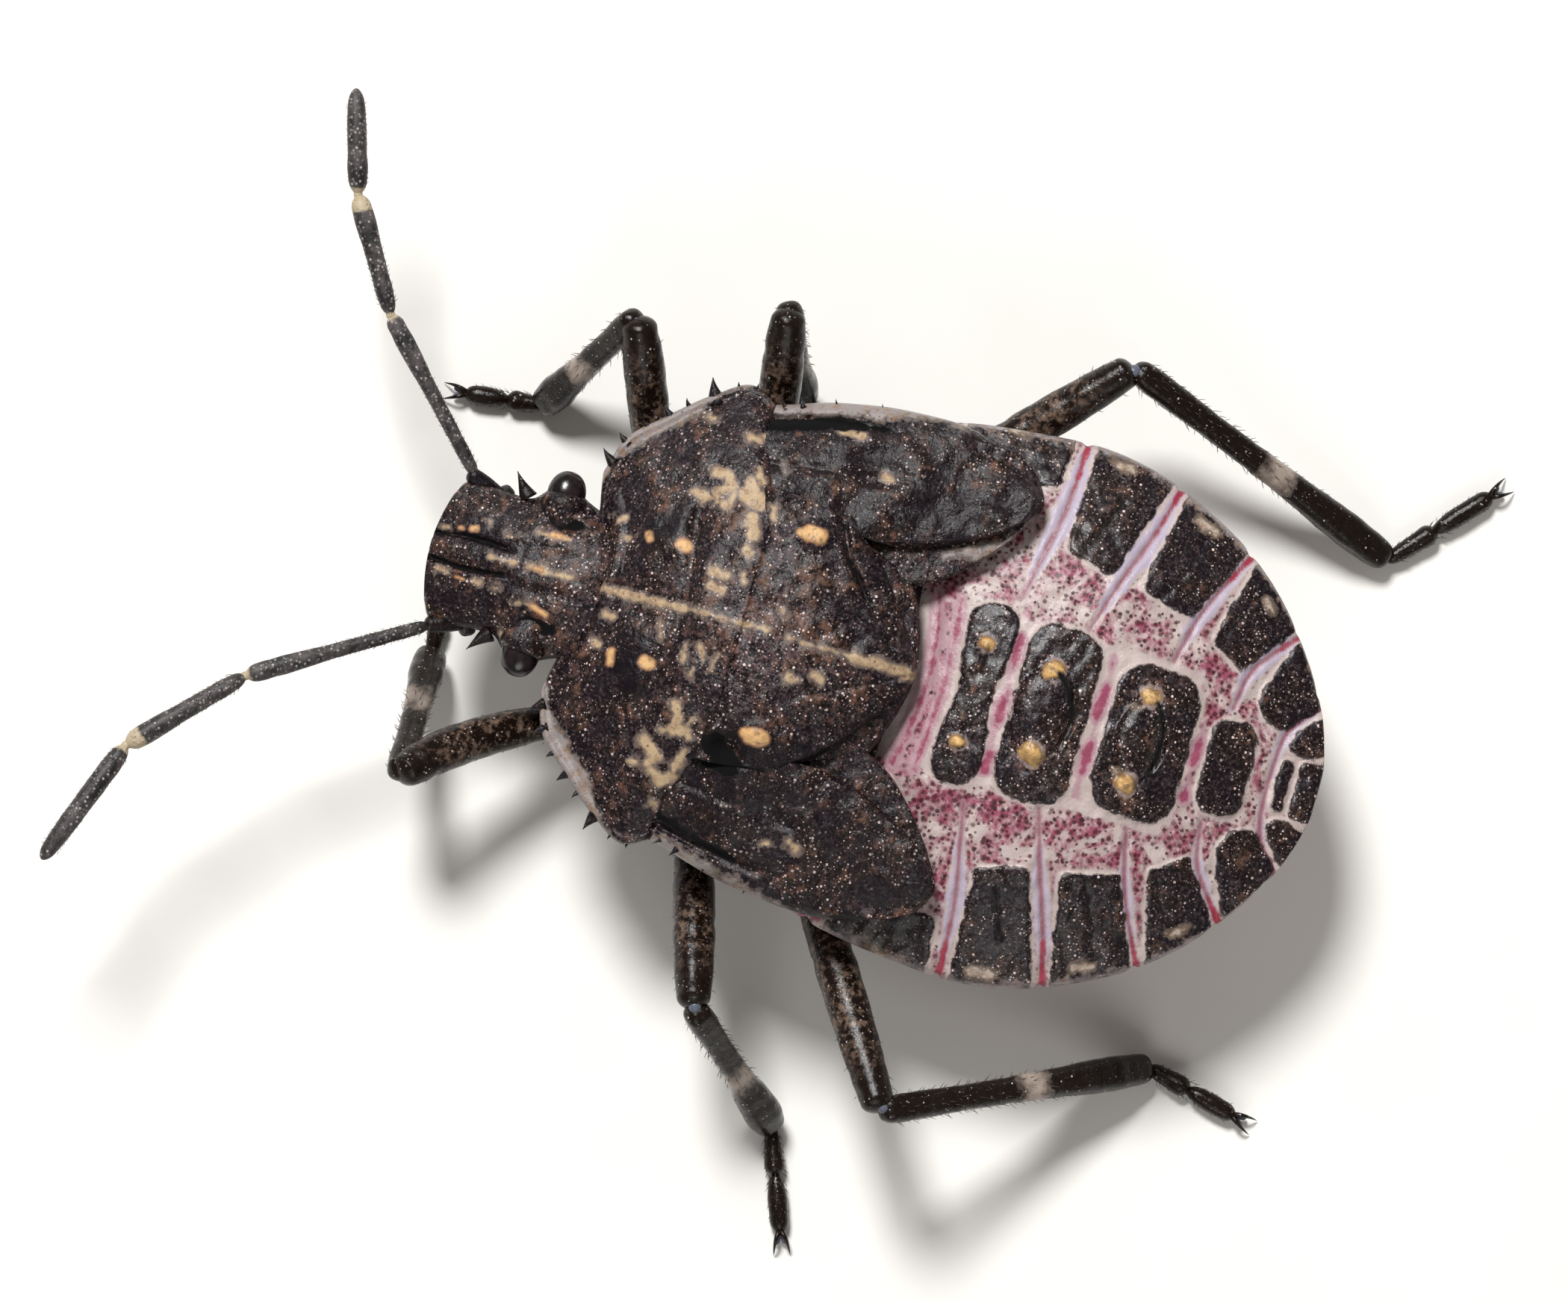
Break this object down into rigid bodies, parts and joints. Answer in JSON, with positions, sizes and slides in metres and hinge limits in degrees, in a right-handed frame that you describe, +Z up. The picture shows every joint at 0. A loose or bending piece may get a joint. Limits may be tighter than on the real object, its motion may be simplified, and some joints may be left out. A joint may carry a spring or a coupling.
{
  "type": "shield bug nymph",
  "caption": "Still, life-size model of a shield bug nymph standing on its legs, with toothed pronotum, short wing pads, raised plates on the back and spread feelers.",
  "frame": {"origin": "below the middle of the bug's box, on the floor that its feet stand on", "axes": "+X is the bug's left, +Y runs from the head to the tail, +Z is up"},
  "size_m": [0.0136, 0.018, 0.0043],
  "materials": {
    "body_shell": "dark brown pitted cuticle with cream and orange marks",
    "abdomen_skin": "pale grey-pink membrane with dark plates and red lines",
    "leg_shell": "glossy near-black cuticle with pale bands and short bristles",
    "feeler": "dark grey-brown cuticle with pale rings and fine bristles",
    "eye": "dark maroon faceted eye",
    "beak": "tan segmented beak with a dark tip"
  },
  "bodies": {
    "root": {"abdomen": "abdomen_skin", "antenna_left_fourth": "feeler", "antenna_left_second": "feeler", "antenna_left_third": "feeler", "antenna_right_fourth": "feeler", "antenna_right_second": "feeler", "antenna_right_third": "feeler", "eye_left": "eye", "eye_right": "eye", "fore_left_coxa": "leg_shell", "fore_left_femur": "leg_shell", "fore_left_tarsus": "leg_shell", "fore_left_tibia": "leg_shell", "fore_right_coxa": "leg_shell", "fore_right_femur": "leg_shell", "fore_right_tarsus": "leg_shell", "fore_right_tibia": "leg_shell", "head": "body_shell", "hind_left_coxa": "leg_shell", "hind_left_femur": "leg_shell", "hind_left_tarsus": "leg_shell", "hind_left_tibia": "leg_shell", "hind_right_coxa": "leg_shell", "hind_right_femur": "leg_shell", "hind_right_tarsus": "leg_shell", "hind_right_tibia": "leg_shell", "mid_left_coxa": "leg_shell", "mid_left_femur": "leg_shell", "mid_left_tarsus": "leg_shell", "mid_left_tibia": "leg_shell", "mid_right_coxa": "leg_shell", "mid_right_femur": "leg_shell", "mid_right_tarsus": "leg_shell", "mid_right_tibia": "leg_shell", "pronotum": "body_shell", "rostrum": "beak", "thorax": "body_shell", "wing_pad_left": "body_shell", "wing_pad_right": "body_shell"}
  },
  "joints": []
}
